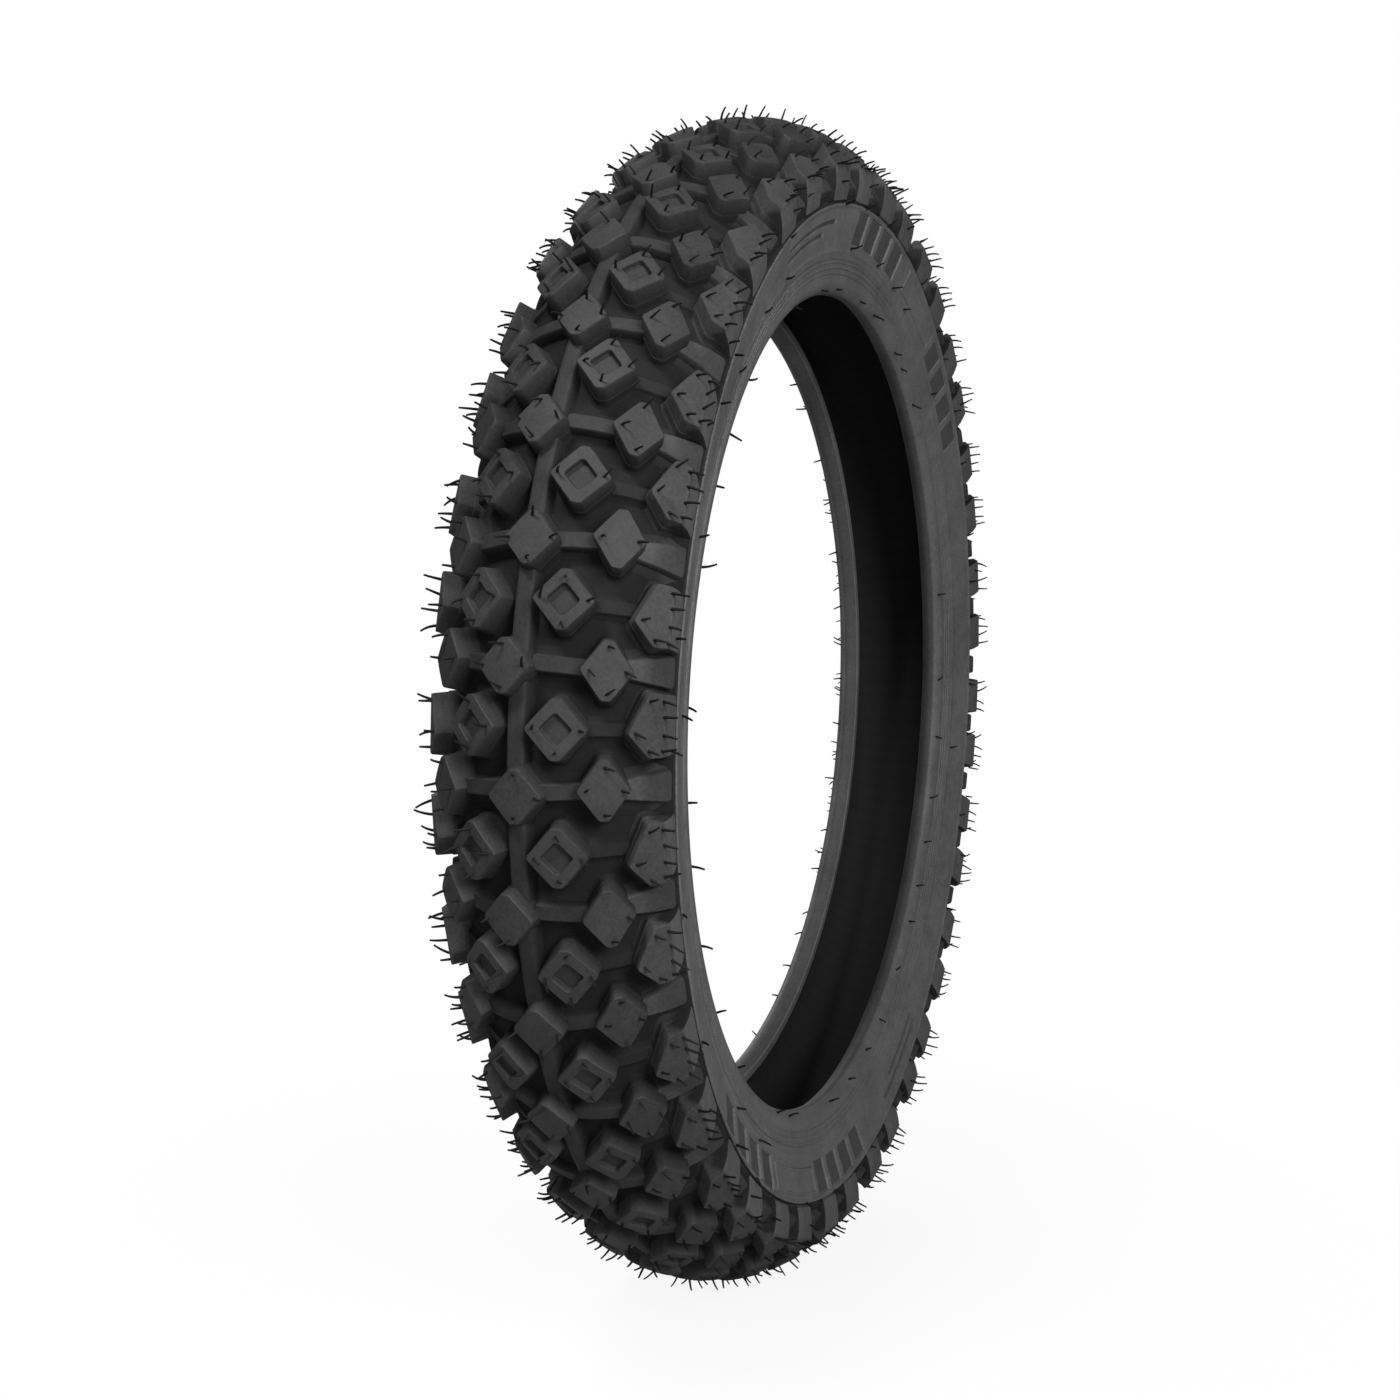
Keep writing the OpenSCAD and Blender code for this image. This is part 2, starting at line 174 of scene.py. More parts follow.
wire_finish, shader, place = new_finish("bronzed_wire", {"Metallic": 1.0})
tarnish = noise(place, scale=160.0)
dark_bronze, light_bronze = (0.36, 0.25, 0.12), (0.62, 0.46, 0.26)
join(shader, "Base Color", tinted(tarnish, dark_bronze, light_bronze))
join(shader, "Roughness", 0.28 + tarnish * 0.2)
hard_rubber = rubber("hard_rubber", dark=0.016, light=0.03, rough=0.62, grain=0.2)
for side in ("left", "right"):
    dressed(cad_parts["bead_wires_" + side], wire_finish)
    dressed(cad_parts["bead_insulation_" + side], hard_rubber)
    dressed(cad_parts["bead_filler_" + side], hard_rubber)


# Carcass and breaker plies. Sheets of rubbered nylon cord laid on the bias, crossed from
# one ply to the next. They too are sealed in, and show only where the tyre is cut.
def turn_of(x, z):
    """How far round the axle a place is, in radians."""
    return x.maths("ARCTAN2", z, x)


def wave(value):
    """Rises and falls between 0 and 1."""
    return value.maths("SINE", value) * 0.5 + 0.5


def corded(name, lean, dark, light):
    """Cords side by side, which run this far round the tyre for each step across it."""
    material, shader, place = new_finish(name, {"Specular IOR Level": 0.25})
    x, y, z = place.axes()
    ply_radius = 0.29
    cord_waves = 5200.0
    cord = wave((turn_of(x, z) * ply_radius + y * lean) * cord_waves)
    cloud = noise(place, scale=40.0)
    join(shader, "Base Color", tinted(cord * 0.7 + cloud * 0.3, dark, light))
    join(shader, "Roughness", 0.85 - cord * 0.15)
    bumped(shader, cord, strength=0.5, depth=0.0003)
    return material


ply_tones = (0.05, 0.038, 0.022), (0.19, 0.145, 0.085)
breaker_tones = (0.07, 0.05, 0.03), (0.24, 0.18, 0.11)
for node, finish, lean, tones in (
        ("carcass_ply_inner", "ply_cord_right_lean", 1.2, ply_tones),
        ("carcass_ply_outer", "ply_cord_left_lean", -1.2, ply_tones),
        ("breaker_lower", "breaker_cord_right_lean", 0.8, breaker_tones),
        ("breaker_upper", "breaker_cord_left_lean", -0.8, breaker_tones)):
    dressed(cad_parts[node], corded(finish, lean, *tones))


# Inner liner. A thin airtight rubber skin inside the casing, from toe to toe. The curing
# bladder leaves it dull, with faint lines across it.
def drawn(name, points):
    """A closed line through points in millimetres, extruded from one vertex."""
    spots = [Vector(p) / 1000 for p in [*points, points[0]]]
    bpy.ops.object.select_all(action="DESELECT")
    bpy.ops.mesh.primitive_plane_add(size=0.01)
    piece = bpy.context.object
    piece.name = piece.data.name = name
    bpy.ops.object.mode_set(mode="EDIT")
    bpy.ops.mesh.select_mode(type="VERT")
    bpy.ops.mesh.select_all(action="SELECT")
    bpy.ops.mesh.merge(type="CENTER")
    bpy.ops.transform.translate(value=spots[0])
    for here, there in zip(spots, spots[1:]):
        bpy.ops.mesh.extrude_region_move(TRANSFORM_OT_translate={"value": there - here})
    bpy.ops.mesh.select_all(action="SELECT")
    bpy.ops.mesh.remove_doubles(threshold=1e-6)
    return piece


def turned(name, section, steps):
    """A ring from a closed section of (radius, sideways) points, spun round the axle."""
    piece = drawn(name, [(r, y, 0) for r, y in section])
    bpy.ops.mesh.spin(steps=steps, angle=2 * math.pi, center=(0, 0, 0), axis=(0, 1, 0))
    bpy.ops.mesh.select_all(action="SELECT")
    bpy.ops.mesh.remove_doubles(threshold=1e-6)
    bpy.ops.mesh.normals_make_consistent(inside=False)
    bpy.ops.object.mode_set(mode="OBJECT")
    return piece


def only(piece):
    """Makes the piece the one that is selected and active."""
    bpy.ops.object.select_all(action="DESELECT")
    piece.select_set(True)
    bpy.context.view_layer.objects.active = piece


def placed(piece, material, slot, *nodes, smooth=32):
    """Shades a finished piece, gives it its material and lets it stand for its nodes."""
    only(piece)
    bpy.ops.object.shade_smooth_by_angle(angle=math.radians(smooth))
    piece.data.materials.clear()
    piece.data.materials.append(material)
    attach(piece, "root")
    if nodes:
        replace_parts(piece, *nodes)


def mirrored(line):
    """The same (radius, sideways) points on the other side, in the other order."""
    return [(r, -y) for r, y in reversed(line)]


def casing_line(inside):
    """The casing's outline, moved in from the outer ply, as (radius, sideways) points."""
    widest_radius, half_width = 261.94, 44
    crown_rise, bead_drop = 41.16, 20.93
    line = []
    for degrees in range(-112, 113, 8):
        turn = math.radians(degrees)
        tall = crown_rise if abs(degrees) < 90 else bead_drop
        lean = Vector((math.cos(turn) / tall, math.sin(turn) / half_width)).normalized()
        line.append((widest_radius + tall * math.cos(turn) - inside * lean.x,
                     half_width * math.sin(turn) - inside * lean.y))
    return line


face_toe = [(242, 27.6), (238, 24.9), (236.6, 24.5)]
back_toe = [(236.9, 25.8), (243, 30)]
liner_face = mirrored(face_toe) + casing_line(inside=3.5) + face_toe
liner_back = back_toe + casing_line(inside=2.0)[::-1] + mirrored(back_toe)
liner = turned("liner_skin", liner_face + liner_back, steps=240)
liner_finish, shader, place = new_finish("liner_rubber", {"Specular IOR Level": 0.22})
x, _, z = place.axes()
bladder_lines = 180.0
bladder = wave(turn_of(x, z) * bladder_lines)
cloud = noise(place, scale=30.0)
liner_black, liner_grey = (0.01, 0.01, 0.01), (0.02, 0.02, 0.02)
join(shader, "Base Color", tinted(cloud * 0.8 + bladder * 0.2, liner_black, liner_grey))
join(shader, "Roughness", 0.62 + cloud * 0.2)
bumped(shader, bladder * 0.5 + cloud * 0.5, strength=0.12, depth=0.0004)
placed(liner, liner_finish, "liner", "inner_liner")


# Chafers. Tough rubber strips round toe, seat and heel, where the tyre grips the rim.
# Fine rim lines are moulded above the heel, so that a fitter can see the bead is seated.
def rim_line(r, y):
    """A low rounded line round the bead, on the slope of the chafer."""
    return [(r + 0.75, y + 0.22), (r + 0.4, y + 0.5), (r - 0.1, y + 0.4), (r - 0.5, y - 0.15)]


chafer_face = ([(246.15, 41.0), (245.9, 41.2)] + rim_line(244.6, 40.77)
               + [(243.2, 40.35)] + rim_line(241.9, 39.94)
               + [(240.4, 39.48)] + rim_line(239.2, 39.11))
heel = [(237.2, 38.5), (235.5, 38.4), (233.75, 38.0), (232.05, 37.15), (230.45, 35.9),
        (229.2, 34.15), (228.6, 32.0)]
toe = [(228.6, 30.2), (229.1, 29.0), (231.7, 25.4), (232.5, 24.7), (234.2, 24.45), (236.6, 24.5)]
chafer_back = [(237.2, 25.9), (233.8, 27.0), (231.6, 30.0), (232.0, 33.0), (233.8, 35.2),
               (239.0, 36.9), (246.15, 39.6)]
chafer = turned("chafer_strip_right", chafer_face + heel + toe + chafer_back, steps=240)


def distance(a, b):
    """How far a place is from a line, by two distances that are square to each other."""
    return a.maths("SQRT", a * a + b * b)


def seat_painted_shade(x, y, z):
    """Painted shade: the woven seat under the bead is painted darker than the face beside it, for
    the shade it lies in.
    """
    seat_shade = 0.46
    toe_side, face_side, heel_top = 0.0253, 0.0327, 0.2365
    sideways = x.maths("ABSOLUTE", y)
    face = held((sideways - face_side) / 0.0014)
    rise = held((distance(x, z) - heel_top) / 0.002)
    seat = (1 - x.maths("MAXIMUM", face, rise)) * x.maths("GREATER_THAN", sideways, toe_side)
    return seat * seat_shade


# Painted shade on the seat under the bead.
chafer_finish = rubber("chafer_rubber", dark=0.06, light=0.158, rough=0.55, grain=0.3,
                       painted_shade=seat_painted_shade)
placed(chafer, chafer_finish, "chafer", "chafer_right")


def left_copy(piece, name, turn, *nodes):
    """The same piece for the left-hand side, mirrored and turned about the axle."""
    only(piece)
    bpy.ops.object.duplicate()
    other = bpy.context.object
    other.name = other.data.name = name
    other.parent = None
    del other["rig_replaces"]
    other.scale = (1, -1, 1)
    other.rotation_euler = (0, math.radians(turn), 0)
    bpy.ops.object.transform_apply(location=False, rotation=True, scale=True)
    bpy.ops.object.mode_set(mode="EDIT")
    bpy.ops.mesh.select_all(action="SELECT")
    bpy.ops.mesh.normals_make_consistent(inside=False)
    bpy.ops.object.mode_set(mode="OBJECT")
    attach(other, "root")
    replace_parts(other, *nodes)


left_copy(chafer, "chafer_strip_left", 0, "chafer_left")


# Sidewalls. Satin rubber over the plies, from the chafer up to a raised ridge under the
# edge knobs. The mould leaves groups of sunk panels, pairs of curved grooves and two
# blank plates in a band of it.
def pick(piece, wanted):
    """Selects the faces that pass a test on their centre, and goes to edit mode."""
    only(piece)
    bpy.ops.object.mode_set(mode="EDIT")
    bpy.ops.mesh.select_mode(type="FACE")
    bpy.ops.mesh.select_all(action="DESELECT")
    bpy.ops.object.mode_set(mode="OBJECT")
    for face in piece.data.polygons:
        face.select = bool(wanted(face.center * 1000))
    bpy.ops.object.mode_set(mode="EDIT")


def stepped(piece, wanted, *steps):
    """Insets the faces that pass a test, by (inwards, up) steps in millimetres."""
    pick(piece, wanted)
    for inward, up in steps:
        bpy.ops.mesh.inset(thickness=inward / 1000, depth=up / 1000)
    bpy.ops.object.mode_set(mode="OBJECT")


def in_band(low, high, first, last):
    """A test for faces of the outer wall between two radii and two turns in degrees."""
    def test(spot):
        radius = math.hypot(spot.x, spot.z)
        turn = (math.degrees(math.atan2(spot.z, spot.x)) - first) % 360
        outer_side = 42.4 + (radius - 254) * 0.2
        return low < radius < high and turn < last - first and spot.y > outer_side
    return test


wall_line = [(246.25, 40.9), (246.7, 41.35), (248.2, 41.85), (249.6, 42.3), (250.0, 42.65),
             (250.6, 42.8), (251.0, 42.7), (253.2, 43.4), (254.6, 43.85), (256.6, 44.5),
             (258.6, 45.15), (261.4, 46.1), (263.6, 46.95), (266.4, 48.0), (268.6, 48.7),
             (270.2, 49.1), (271.4, 49.35), (271.9, 49.75), (272.4, 50.25), (273.0, 50.4),
             (273.5, 50.2), (273.8, 49.7), (274.0, 48.6), (274.9, 48.4)]
wall_back = [(274.9, 47.2), (266.0, 44.4), (258.0, 42.6), (252.0, 41.2), (246.4, 40.0)]
wall = turned("sidewall_rubber_right", wall_line + wall_back, steps=360)
panel_firsts = (79, 118, 262, 298)
panel_count, panel_pitch, panel_wide = 4, 5, 4
panel_low, panel_high, panel_rim = 254.6, 271.4, 0.6
for first in panel_firsts:
    for turn in range(first, first + panel_count * panel_pitch, panel_pitch):
        stepped(wall, in_band(panel_low, panel_high, turn, turn + panel_wide), (panel_rim, -1.1))
groove_first, groove_rim = 54, 0.4
grooves = (263.6, 266.4, 71), (258.6, 261.4, 67)
for half in (0, 180):
    for low, high, last in grooves:
        stepped(wall, in_band(low, high, half + groove_first, half + last), (groove_rim, -0.9))
plate_low, plate_high, plate_wide = 256.6, 270.2, 15
for first in (-78, 102):
    stepped(wall, in_band(plate_low, plate_high, first, first + plate_wide),
            (0.5, 0.6), (0.9, 0.0), (0.4, -0.4))


def between(value, low, high):
    return value.maths("GREATER_THAN", value, low) * value.maths("LESS_THAN", value, high)


def band(radius, low, high, rim):
    """The floor between two radii in millimetres, inside its rim."""
    return between(radius, (low + rim) / 1000, (high - rim) / 1000)


def sunk_painted_shade(x, y, z):
    """Painted shade: the floors of the panels and grooves are painted dark and made matt, and the
    step over the ridge is painted as a black shadow line.
    """
    radius = distance(x, z)
    turn = x.maths("FLOORED_MODULO", turn_of(x, z) * (180 / math.pi), 360.0)
    panel_end, groove_end = 0.13, 0.2
    floors = 0.0
    for first in panel_firsts:
        along = x.maths("FLOORED_MODULO", turn - first, panel_pitch)
        floors = floors + (between(turn, first, first + panel_count * panel_pitch)
                           * between(along, panel_end, panel_wide - panel_end))
    floors = floors * band(radius, panel_low, panel_high, panel_rim)
    half_turn = x.maths("FLOORED_MODULO", turn, 180.0)
    for low, high, last in grooves:
        floors = floors + (band(radius, low, high, groove_rim)
                           * between(half_turn, groove_first + groove_end, last - groove_end))
    floor_shade, step_shadow, ridge_top = 0.5, 0.8, 0.2737
    over_ridge = x.maths("GREATER_THAN", radius, ridge_top)
    return floors * floor_shade + over_ridge * step_shadow


# Painted shade on the panel and groove floors, and a painted shadow over the ridge step.
wall_finish = rubber("sidewall_rubber", dark=0.06, light=0.164, rough=0.58, grain=0.3, painted_shade=sunk_painted_shade)
placed(wall, wall_finish, "sidewall", "sidewall_right")
left_copy(wall, "sidewall_rubber_left", 0, "sidewall_left")


# Tread base and centre rib. The floor under the knobs is one extruded band of tread
# rubber over the breakers; the low rib is moulded round its middle.
crown_centre = 256
floor_radius = 53
tread_dark, tread_light = 0.016, 0.046


def arc(radius, first, last, count):
    """Points on the crown's circle, from one angle to another in degrees."""
    turns = [math.radians(first + (last - first) * i / count) for i in range(count + 1)]
    return [(crown_centre + radius * math.cos(a), radius * math.sin(a)) for a in turns]


def groove_painted_shade(shade_until):
    """A rule for painted shade: it darkens the tread floor towards black, less and less up to
    this height over it, where it stops.
    """
    def painted_shade(x, y, z):
        deepest, fade = 0.74, 1.3
        over_centre = distance(distance(x, z) - crown_centre / 1000, y)
        height = held((over_centre - (floor_radius + 0.2) / 1000) / shade_until)
        return deepest - x.maths("POWER", height, fade) * deepest
    return painted_shade


# Painted shade in the grooves: dark on the tread floor, fading out up the knobs.
knob_shade = groove_painted_shade(shade_until=0.0104)
tread_finish = rubber("tread_rubber", tread_dark, tread_light, rough=0.62, grain=0.45,
                      painted_shade=knob_shade)
shoulder = [(274.8, 48.0), (275.1, 48.6), (275.5, 49.5), (276.6, 49.65), (278.8, 48.9),
            (281.5, 47.2), (284.2, 45.1)]
floor_line = arc(floor_radius, 55.2, -55.2, count=44)
base_back = arc(47.5, -62, 62, count=30)
base = turned("tread_floor", shoulder + floor_line + mirrored(shoulder) + base_back, steps=360)
placed(base, tread_finish, "tread", "tread_base")
rib_side = [(308.2, 5.6), (309.0, 4.9), (310.2, 4.4), (313.3, 3.85), (313.9, 3.5), (314.2, 3.0),
            (314.25, 1.4)]
rib_under = [(307.4, 0)]
rib = turned("middle_rib", rib_side + mirrored(rib_side) + rib_under, steps=360)
# Painted shade low on the rib and the tie bars, as in the grooves.
bar_finish = rubber("bar_rubber", tread_dark, tread_light, rough=0.62, grain=0.4,
                    painted_shade=groove_painted_shade(shade_until=0.0072))
placed(rib, bar_finish, "tread", "centre_rib")


# Centre knobs. Solid diamonds of tread rubber astride the rib, stepped to either side by
# turns. Like all the knobs they are moulded with a plinth, a rounded foot and a crisp
# top edge.
crown_radius = 64
wheel_radius = 320
knob_foot = -11.2
knob_soft = 0.5
knob_tip = 3.0
knob_steps = [(0.5, 0.3), (0.7, 0.35), (0.5, 0.5), (0.3, 0.7), (0.25, 2.0), (0.12, 0.22),
              (0.26, 0.1), (0.12, 0.27), (0.9, 6.1), (0.18, 0.36), (0.28, 0.3)]


def diamond(wide, long, tip):
    """Corners of a knob's top: points at the sides, blunt tips fore and aft."""
    return [(wide / 2, 0), (tip / 2, long / 2), (-tip / 2, long / 2),
            (-wide / 2, 0), (-tip / 2, -long / 2), (tip / 2, -long / 2)]


def rounded(corners, grow):
    """Convex corners, listed anticlockwise, moved out by this much and rounded by it."""
    outline = []
    for i, here in enumerate(corners):
        before, after = corners[i - 1], corners[(i + 1) % len(corners)]
        first = math.atan2(before[0] - here[0], here[1] - before[1])
        last = math.atan2(here[0] - after[0], after[1] - here[1])
        for share in (0, 0.5, 1):
            turn = first + share * ((last - first) % (2 * math.pi))
            outline.append((here[0] + grow * math.cos(turn), here[1] + grow * math.sin(turn)))
    return outline


def raised(name, corners, soft, steps, foot, lean=0.0):
    """A block that goes in and up by steps from its foot, and leans inwards as it rises."""
    footing = 1.5
    top_ring = 0.5
    reach = sum(inward for inward, _ in steps) + soft
    shift = lean * sum(up for _, up in steps)
    piece = drawn(name, [(x + shift, y, foot - footing) for x, y in rounded(corners, reach)])
    bpy.ops.mesh.edge_face_add()
    bpy.ops.mesh.extrude_region_move(TRANSFORM_OT_translate={"value": (0, 0, footing / 1000)})
    bpy.ops.mesh.select_all(action="SELECT")
    bpy.ops.mesh.normals_make_consistent(inside=False)
    bpy.ops.object.mode_set(mode="OBJECT")
    pick(piece, lambda spot: spot.z > foot - 0.01)
    for inward, up in steps:
        bpy.ops.mesh.inset(thickness=inward / 1000, depth=up / 1000)
        bpy.ops.transform.translate(value=(-lean * up / 1000, 0, 0))
    bpy.ops.mesh.inset(thickness=top_ring / 1000, depth=0)
    bpy.ops.object.mode_set(mode="OBJECT")
    return piece


def sliced(piece, cuts):
    """Cuts a flat piece into strips, so that it can be bent over the crown."""
    only(piece)
    bpy.ops.object.mode_set(mode="EDIT")
    for x in cuts:
        bpy.ops.mesh.select_all(action="SELECT")
        bpy.ops.mesh.bisect(plane_co=(x / 1000, 0, 0), plane_no=(1, 0, 0))
    bpy.ops.object.mode_set(mode="OBJECT")


def laid(piece, spots):
    """Copies of a flat piece at (across, degrees round, lean) spots, joined into one."""
    copies = []
    for across, turn, lean in spots:
        only(piece)
        bpy.ops.object.duplicate()
        copy = bpy.context.object
        copy.rotation_euler = (0, 0, math.radians(lean))
        copy.location = (across / 1000, math.radians(turn) * wheel_radius / 1000, 0)
        copies.append(copy)
    bpy.data.objects.remove(piece)
    only(copies[0])
    for copy in copies:
        copy.select_set(True)
    bpy.ops.object.transform_apply(location=True, rotation=True, scale=False)
    bpy.ops.object.join()
    return bpy.context.object


def bent(piece):
    """Bends a flat stretch of tread over the crown and round the wheel."""
    only(piece)
    piece.rotation_euler = (-math.pi / 2, 0, 0)
    bpy.ops.object.transform_apply(location=False, rotation=True, scale=False)
    for axis, side, radius in (("Z", 0, crown_radius), ("X", 2, wheel_radius)):
        bpy.context.view_layer.update()
        bend = piece.modifiers.new("bend", "SIMPLE_DEFORM")
        bend.deform_method = "BEND"
        bend.deform_axis = axis
        bend.angle = -piece.dimensions[side] * 1000 / radius
        bpy.ops.object.modifier_apply(modifier=bend.name)
    piece.location = (0, wheel_radius / 1000, 0)
    bpy.ops.object.transform_apply(location=True, rotation=False, scale=False)
    piece.rotation_euler = (math.pi, 0, math.pi / 2)
    bpy.ops.object.transform_apply(location=False, rotation=True, scale=False)


def all_round(piece, name, times):
    """Repeats a stretch of tread round the whole wheel."""
    only(piece)
    piece.name = piece.data.name = name
    bpy.ops.object.mode_set(mode="EDIT")
    bpy.ops.mesh.select_all(action="SELECT")
    bpy.ops.mesh.spin(steps=times - 1, dupli=True, angle=2 * math.pi * (times - 1) / times,
                      center=(0, 0, 0), axis=(0, 1, 0))
    bpy.ops.mesh.select_all(action="SELECT")
    bpy.ops.mesh.normals_make_consistent(inside=False)
    bpy.ops.object.mode_set(mode="OBJECT")


first_turn = 3.1
pitch = 9
knob_count = 40


def row_of(piece, name, spots):
    """Lays two neighbours of a row flat, bends them and repeats the pair round the wheel."""
    row = laid(piece, spots)
    bent(row)
    all_round(row, name, knob_count // 2)
    return row


knob_cuts = (-8, -5, -2.5, 0, 2.5, 5, 8)
centre_across = (-3.7, 2.4)
centre_back = 0.25
knob = raised("centre_knob", diamond(21.3, 20.0, knob_tip), knob_soft, knob_steps, knob_foot)
sliced(knob, knob_cuts)
row = row_of(knob, "centre_knob_row",
             [(centre_across[i], first_turn + pitch * i - centre_back, 0) for i in range(2)])
placed(row, tread_finish, "tread", "centre_knobs")


# Pocket knobs. Diamonds of tread rubber half a pitch on, beside the centre row. The mould
# leaves a square pocket in the top, with an even rim.
pocket_across = 19.08
knob = raised("pocket_knob", diamond(23.2, 22.4, knob_tip), knob_soft, knob_steps, knob_foot,
              lean=0.07)
pocket_steps = [(0.25, 0.25), (0.35, 1.9), (0.3, 0.25)]
cutter = raised("pocket_cutter", diamond(10.8, 10.4, tip=0.7), 0.35, pocket_steps, foot=-0.01)
cutter.rotation_euler = (math.pi, 0, 0)
only(cutter)
bpy.ops.object.transform_apply(location=False, rotation=True, scale=False)
only(knob)
cut = knob.modifiers.new("pocket", "BOOLEAN")
cut.operation = "DIFFERENCE"
cut.object = cutter
bpy.ops.object.modifier_apply(modifier=cut.name)
bpy.data.objects.remove(cutter)
sliced(knob, knob_cuts)
row = row_of(knob, "pocket_knob_row_right",
             [(pocket_across, first_turn + pitch * (i + 0.5), 0) for i in range(2)])
placed(row, tread_finish, "tread", "pocket_knobs_right")
left_copy(row, "pocket_knob_row_left", pitch, "pocket_knobs_left")


# Shoulder knobs. Diamonds of tread rubber in line with the centre row, longer than they
# are wide, moulded a little back and forth along the tread by turns.
shoulder_across = 37.99
shoulder_step = math.degrees(1.3 / 309)
shoulder_cuts = (-7, -4.5, -2, 0, 2, 4.5, 7)
knob = raised("shoulder_knob", diamond(19.6, 22.8, knob_tip), knob_soft, knob_steps, knob_foot,
              lean=0.17)
sliced(knob, shoulder_cuts)
row = row_of(knob, "shoulder_knob_row_right",
             [(shoulder_across, first_turn - shoulder_step, 0),
              (shoulder_across, first_turn + pitch + shoulder_step, 0)])
placed(row, tread_finish, "tread", "shoulder_knobs_right")
left_copy(row, "shoulder_knob_row_left", pitch, "shoulder_knobs_left")


# Edge knobs. Half diamonds moulded at the edge of the tread, whose outer face runs down
# the shoulder as a bar and ends at the ridge of the sidewall. Their rubber is painted paler
# there, as painted light on the flank.
edge_across = 55.05
edge_step = math.degrees(2 / 291.6)
edge_half = 7.75
edge_cuts = (-5, -2.5, 0, 2.5, 5, 8, 11, 14, 17, 20)
edge_top = [(-edge_half + 0.55, -3.2), (1.0, -12.7), (edge_half - 0.5, -12.7),
            (edge_half - 0.5, 12.7), (1.0, 12.7)]
knob = raised("edge_knob", edge_top, knob_soft, knob_steps, knob_foot, lean=0.27)
flank_slope, flank_growth = 1.438, 0.12
flank_from, flank_out = 0.0055, 0.0219
flank_half_long = 0.0134
top_edge = 0.0003
levels = sorted({round(v.co.z, 5) for v in knob.data.vertices})
for level in levels:
    only(knob)
    bpy.ops.object.mode_set(mode="EDIT")
    bpy.ops.mesh.select_mode(type="VERT")
    bpy.ops.mesh.select_all(action="DESELECT")
    bpy.ops.object.mode_set(mode="OBJECT")
    flank = [v for v in knob.data.vertices
             if abs(v.co.z - level) < 1e-5 and v.co.x > flank_from]
    for vertex in flank:
        vertex.select = True
    out = max(v.co.x for v in flank)
    half_long = max(v.co.y for v in flank)
    down = max(-level - top_edge, 0)
    want = min(edge_half / 1000 + down * flank_slope, flank_out)
    shorten = min((flank_half_long + down * flank_growth) / half_long, 1)
    bpy.ops.object.mode_set(mode="EDIT")
    bpy.ops.transform.translate(value=(max(want - out, 0), 0, 0))
    bpy.ops.transform.resize(value=(1, shorten, 1), center_override=(0, 0, 0))
    bpy.ops.object.mode_set(mode="OBJECT")
sliced(knob, edge_cuts)
row = row_of(knob, "edge_knob_row_right",
             [(edge_across, first_turn + pitch * 0.5 - edge_step, 0),
              (edge_across, first_turn + pitch * 1.5 + edge_step, 0)])


def edge_painted_shade(x, y, z):
    """Painted shade on the edge knobs: the top is shaded as the other knobs are, and at least
    half dark, while the flank down the shoulder keeps its paler grey as painted light. The walls
    at the flank's two ends get painted shade, found by their turn from the knob's middle."""
    half_turn, end_shade, top_shade = 2.33, 0.86, 0.5
    flank_top, flank_side = 0.2925, 0.0445
    below = held((flank_top - distance(x, z)) / 0.0025)
    flank = below * held((x.maths("ABSOLUTE", y) - flank_side) / 0.003)
    turn = turn_of(x, z) * (180 / math.pi) - first_turn
    near = x.maths("ABSOLUTE", x.maths("FLOORED_MODULO", turn, 2.0 * pitch) - pitch)
    middle = x.maths("SIGN", y) * edge_step + pitch / 2
    ends = held((x.maths("ABSOLUTE", near - middle) - half_turn) / 0.08) * end_shade
    top = x.maths("MAXIMUM", knob_shade(x, y, z), top_shade)
    return top * (1 - flank) + ends * flank


# Painted light: greys paler than the tread's, so that the flank looks lit. The top and end walls
# are painted darker again as painted shade.
edge_finish = rubber("edge_knob_rubber", dark=0.045, light=0.125, rough=0.6, grain=0.4,
                     painted_shade=edge_painted_shade)
placed(row, edge_finish, "tread", "edge_knobs_right")
left_copy(row, "edge_knob_row_left", pitch, "edge_knobs_left")


# Tie bars and lands. Low bars of tread rubber tie centre to shoulder knobs and pocket to
# edge knobs, and a broad land runs from each shoulder knob out to the edge. All are
# moulded with the base.
def bar(name, inner, outer, width, height, spread, flare=1.0):
    """A flat-topped bar on the tread floor, between two places across it."""
    steps = [(0.5 * spread, 0.45), (0.8 * spread, 0.3), (0.6 * spread, 0.5),
             (0.3 * spread, height - 1.7), (0.25, 0.4), (0.3, 0.25)]
    half = (outer - inner) / 2
    wide = width * flare
    corners = [(half, -wide / 2), (half, wide / 2), (-half, width / 2), (-half, -width / 2)]
    piece = raised(name, corners, 0.4, steps, knob_foot)
    sliced(piece, [half * share / 4 for share in range(-3, 4)])
    return piece


tie = bar("tie_bar", inner=7, outer=32, width=5.0, height=5.4, spread=2.0)
tie_across, tie_lean = 19.5, 3.2
row = row_of(tie, "tie_bar_row_right",
             [(tie_across, first_turn, -tie_lean), (tie_across, first_turn + pitch, tie_lean)])
placed(row, bar_finish, "tread", "tie_bars_right")
left_copy(row, "tie_bar_row_left", pitch, "tie_bars_left")

tie = bar("edge_tie", inner=26, outer=50, width=4.4, height=2.3, spread=1.2)
edge_tie_across = 38
row = row_of(tie, "edge_tie_row_right",
             [(edge_tie_across, first_turn + pitch * (i + 0.5), 0) for i in range(2)])
placed(row, bar_finish, "tread", "edge_ties_right")
left_copy(row, "edge_tie_row_left", pitch, "edge_ties_left")

land = bar("shoulder_land", inner=43, outer=71, width=4.6, height=4.3, spread=2.3, flare=2.8)
land_across = 57
row = row_of(land, "shoulder_land_row_right",
             [(land_across, first_turn + pitch * i, 0) for i in range(2)])
land_groove_shade = groove_painted_shade(shade_until=0.0045)


